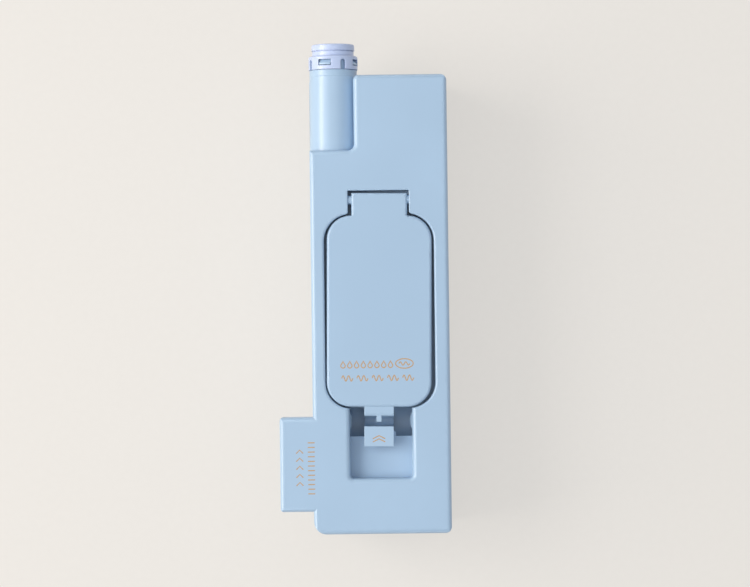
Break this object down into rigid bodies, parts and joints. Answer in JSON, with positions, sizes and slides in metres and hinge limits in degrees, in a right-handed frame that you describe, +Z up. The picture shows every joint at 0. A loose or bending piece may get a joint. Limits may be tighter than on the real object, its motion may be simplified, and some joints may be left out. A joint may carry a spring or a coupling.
{
  "type": "detergent dispenser",
  "caption": "Liquid detergent cartridge for a washing machine, with a hinged fill lid, a finger well, a lift tab and a sprung valve in a clip-on cap.",
  "frame": {"origin": "centre of the tank's flat base", "axes": "+Y along the body towards the valve cap, +X to the right seen from above, +Z up from the base to the fill lid"},
  "size_m": [0.072, 0.2068, 0.066],
  "materials": {
    "blue_plastic": "satin light-blue moulded plastic",
    "lavender_plastic": "satin lavender moulded plastic",
    "white_plastic": "natural white moulded plastic",
    "grey_rubber": "matt elastomer",
    "spring_steel": "drawn stainless wire"
  },
  "bodies": {
    "shells": {"tank": "blue_plastic", "top_cover": "blue_plastic", "valve_cap": "lavender_plastic", "cap_seal": "grey_rubber", "valve_spring": "spring_steel", "pickup_elbow": "white_plastic", "elbow_seal": "grey_rubber", "pickup_tube": "white_plastic", "pickup_strainer": "white_plastic", "vent_valve": "grey_rubber"},
    "lid": {"fill_lid": "blue_plastic", "lid_gasket": "grey_rubber"},
    "poppet": {"valve_poppet": "white_plastic", "poppet_seal": "grey_rubber"}
  },
  "joints": [
    {"name": "lid_hinge", "type": "hinge", "parent": "shells", "child": "lid", "pos_m": [0, 0.044, 0.0634], "axis": [-1, 0, 0], "range_deg": [0, 110]},
    {"name": "valve_press", "type": "slide", "parent": "shells", "child": "poppet", "axis": [0, -1, 0], "range_m": [0, 0.0035], "stiffness_N_per_m": 300, "springref_m": -0.004, "deforming": ["valve_spring"]}
  ]
}
